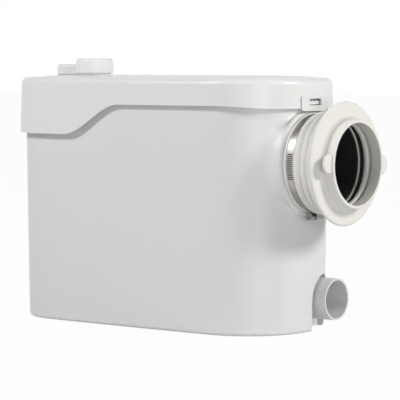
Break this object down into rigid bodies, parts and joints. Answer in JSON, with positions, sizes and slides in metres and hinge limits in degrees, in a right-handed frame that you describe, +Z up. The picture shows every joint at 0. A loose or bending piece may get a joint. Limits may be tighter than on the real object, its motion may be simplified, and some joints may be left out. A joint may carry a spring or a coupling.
{
  "type": "sewage lifting unit",
  "caption": "Macerating lifting unit: oval tank with lift-off lid, flexible pan inlet with flange and clamp, low side inlet socket, capped outlet and vent, pump inside.",
  "frame": {"origin": "centre of the tank's flat bottom, on the floor", "axes": "+X along the tank towards the pan inlet, +Z up, broad front face along -Y"},
  "size_m": [0.4338, 0.194, 0.2897],
  "materials": {
    "white_shell": "satin moulded plastic",
    "white_rubber": "matt off-white rubber",
    "stainless": "bright strip and turned steel",
    "black_rubber": "matt",
    "dark_plastic": "matt moulded plastic",
    "carbon_foam": "open foam loaded with carbon",
    "steel_laminate": "varnished stack",
    "copper_wire": "varnished copper wire",
    "cast_alloy": "as cast",
    "pale_plastic": "matt",
    "red_plastic": "matt"
  },
  "bodies": {
    "tank": {"tank_floor": "white_shell", "tank_left": "white_shell", "tank_front": "white_shell", "tank_back": "white_shell", "tank_right": "white_shell", "inlet_boss": "white_shell", "side_socket": "white_shell", "inlet_sleeve": "dark_plastic", "inlet_seal": "black_rubber", "wc_connector": "white_rubber", "clamp_band": "stainless", "clamp_housing": "stainless", "lid_gasket": "black_rubber", "side_valve_seat": "dark_plastic", "side_flap_pin": "stainless"},
    "clamp_screw": {"clamp_screw": "stainless"},
    "side_flap": {"side_flap": "black_rubber"},
    "lid": {"lid_shell": "white_shell", "lid_skirt": "white_shell", "lid_ring": "white_shell", "vent_neck": "white_shell", "deck_pan": "dark_plastic", "discharge_neck": "white_shell", "vent_filter": "carbon_foam", "cable_gland": "dark_plastic", "gland_nut": "dark_plastic", "motor_can": "dark_plastic", "stator_core": "steel_laminate", "stator_windings": "copper_wire", "motor_bracket": "cast_alloy", "upper_bearing": "stainless", "lower_bearing": "stainless", "shaft_seal": "black_rubber", "macerator_basket": "dark_plastic", "inlet_duct": "dark_plastic", "pump_volute": "dark_plastic", "suction_plate": "dark_plastic", "discharge_pipe": "dark_plastic", "check_valve_body": "dark_plastic", "discharge_flap_pin": "stainless", "pressure_tube": "dark_plastic", "membrane_cup": "dark_plastic", "membrane": "black_rubber", "membrane_cover": "dark_plastic", "microswitch": "dark_plastic", "capacitor": "pale_plastic", "capacitor_clip": "stainless", "terminal_block": "pale_plastic", "motor_screws": "stainless", "basket_screws": "stainless", "pump_screws": "stainless"},
    "rotor": {"motor_shaft": "stainless", "rotor_core": "steel_laminate", "macerator_blade": "stainless", "impeller": "dark_plastic"},
    "switch_plunger": {"switch_plunger": "red_plastic"},
    "discharge_flap": {"discharge_flap": "black_rubber"},
    "discharge_cap": {"discharge_cap": "white_shell"},
    "vent_cap": {"vent_cap": "white_shell"}
  },
  "joints": [
    {"name": "lid_lift", "type": "slide", "parent": "tank", "child": "lid", "axis": [0, 0, 1], "range_m": [0, 0.25]},
    {"name": "rotor_spin", "type": "hinge", "parent": "lid", "child": "rotor", "pos_m": [0.045, 0, 0.12], "axis": [0, 0, 1], "continuous": true},
    {"name": "clamp_screw_turn", "type": "hinge", "parent": "tank", "child": "clamp_screw", "pos_m": [0.19265, 0, 0.1242], "axis": [0, 1, 0], "continuous": true},
    {"name": "side_flap_swing", "type": "hinge", "parent": "tank", "child": "side_flap", "pos_m": [0.14245, 0.034, 0.0557], "axis": [0, 1, 0], "range_deg": [0, 40]},
    {"name": "switch_press", "type": "slide", "parent": "lid", "child": "switch_plunger", "axis": [0, 0, 1], "range_m": [0, 0.0025], "stiffness_N_per_m": 150, "springref_m": -0.002},
    {"name": "discharge_flap_swing", "type": "hinge", "parent": "lid", "child": "discharge_flap", "pos_m": [-0.09, -0.0146, 0.2425], "axis": [-1, 0, 0], "range_deg": [0, 60]},
    {"name": "discharge_cap_lift", "type": "slide", "parent": "lid", "child": "discharge_cap", "axis": [0, 0, 1], "range_m": [0, 0.03]},
    {"name": "vent_cap_lift", "type": "slide", "parent": "lid", "child": "vent_cap", "axis": [0, 0, 1], "range_m": [0, 0.02]}
  ]
}
